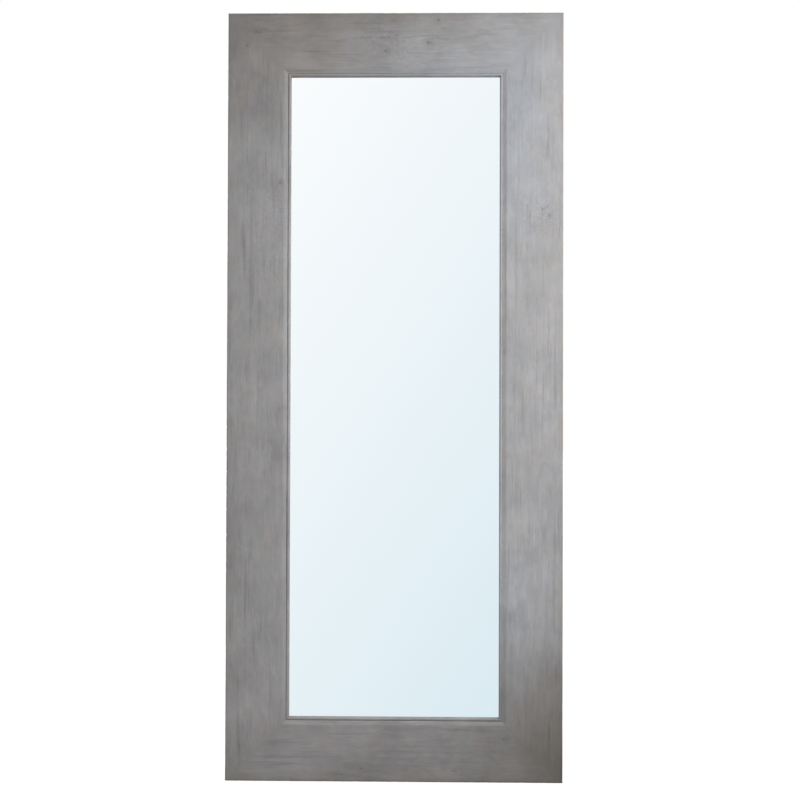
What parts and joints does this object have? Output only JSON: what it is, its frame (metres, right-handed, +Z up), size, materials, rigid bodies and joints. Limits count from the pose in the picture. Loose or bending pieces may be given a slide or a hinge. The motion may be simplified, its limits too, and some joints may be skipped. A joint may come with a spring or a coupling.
{
  "type": "leaning floor mirror",
  "caption": "Tall framed mirror that leans on a wall: wide flat mitred grey-washed timber frame, moulded inner edge with a bead, plain silvered glass.",
  "frame": {"origin": "middle of the floor line, halfway between the frame's front face and the faces of the wall buffers", "axes": "+Z up the frame, the glass faces -Y, +X to the right as seen from the front"},
  "size_m": [0.875, 0.0542, 2],
  "materials": {
    "frame_wood": "grey-washed, weathered grain, matt",
    "slip_wood": "grey-washed, slightly darker, matt",
    "raw_pine": "planed, unfinished",
    "beech": "pressed and fluted, unfinished",
    "hardboard": "pressed fibre board, matt",
    "mirror": "silvered float glass, polished",
    "zinc_steel": "zinc plated",
    "ring_steel": "zinc plated wire",
    "rubber": "moulded, matt black"
  },
  "bodies": {
    "frame": {"left_stile": "frame_wood", "top_rail": "frame_wood", "right_stile": "frame_wood", "bottom_rail": "frame_wood", "sight_slip_left": "slip_wood", "sight_slip_top": "slip_wood", "sight_slip_right": "slip_wood", "sight_slip_bottom": "slip_wood", "back_bead_left": "raw_pine", "back_bead_top": "raw_pine", "back_bead_right": "raw_pine", "back_bead_bottom": "raw_pine", "bead_screw_left_1": "zinc_steel", "bead_screw_left_2": "zinc_steel", "bead_screw_left_3": "zinc_steel", "bead_screw_left_4": "zinc_steel", "bead_screw_left_5": "zinc_steel", "bead_screw_top_1": "zinc_steel", "bead_screw_top_2": "zinc_steel", "bead_screw_right_1": "zinc_steel", "bead_screw_right_2": "zinc_steel", "bead_screw_right_3": "zinc_steel", "bead_screw_right_4": "zinc_steel", "bead_screw_right_5": "zinc_steel", "bead_screw_bottom_1": "zinc_steel", "bead_screw_bottom_2": "zinc_steel", "mitre_tenon_top_left_outer": "beech", "mitre_tenon_top_left_inner": "beech", "mitre_tenon_top_right_outer": "beech", "mitre_tenon_top_right_inner": "beech", "mitre_tenon_bottom_right_outer": "beech", "mitre_tenon_bottom_right_inner": "beech", "mitre_tenon_bottom_left_outer": "beech", "mitre_tenon_bottom_left_inner": "beech", "mirror_glass": "mirror", "backing_panel": "hardboard", "setting_block_left": "rubber", "setting_block_right": "rubber", "hanger_strap_left": "zinc_steel", "hanger_screw_left_1": "zinc_steel", "hanger_screw_left_2": "zinc_steel", "hanger_strap_right": "zinc_steel", "hanger_screw_right_1": "zinc_steel", "hanger_screw_right_2": "zinc_steel", "wall_buffer_top_left": "rubber", "wall_buffer_top_right": "rubber", "wall_buffer_bottom_left": "rubber", "wall_buffer_bottom_right": "rubber"},
    "ring_left": {"hanger_ring_left": "ring_steel"},
    "ring_right": {"hanger_ring_right": "ring_steel"}
  },
  "joints": [
    {"name": "ring_swing_left", "type": "hinge", "parent": "frame", "child": "ring_left", "pos_m": [-0.3615, 0.02165, 1.64], "axis": [1, 0, 0], "range_deg": [0, 180]},
    {"name": "ring_swing_right", "type": "hinge", "parent": "frame", "child": "ring_right", "pos_m": [0.3615, 0.02165, 1.64], "axis": [1, 0, 0], "range_deg": [0, 180]}
  ]
}
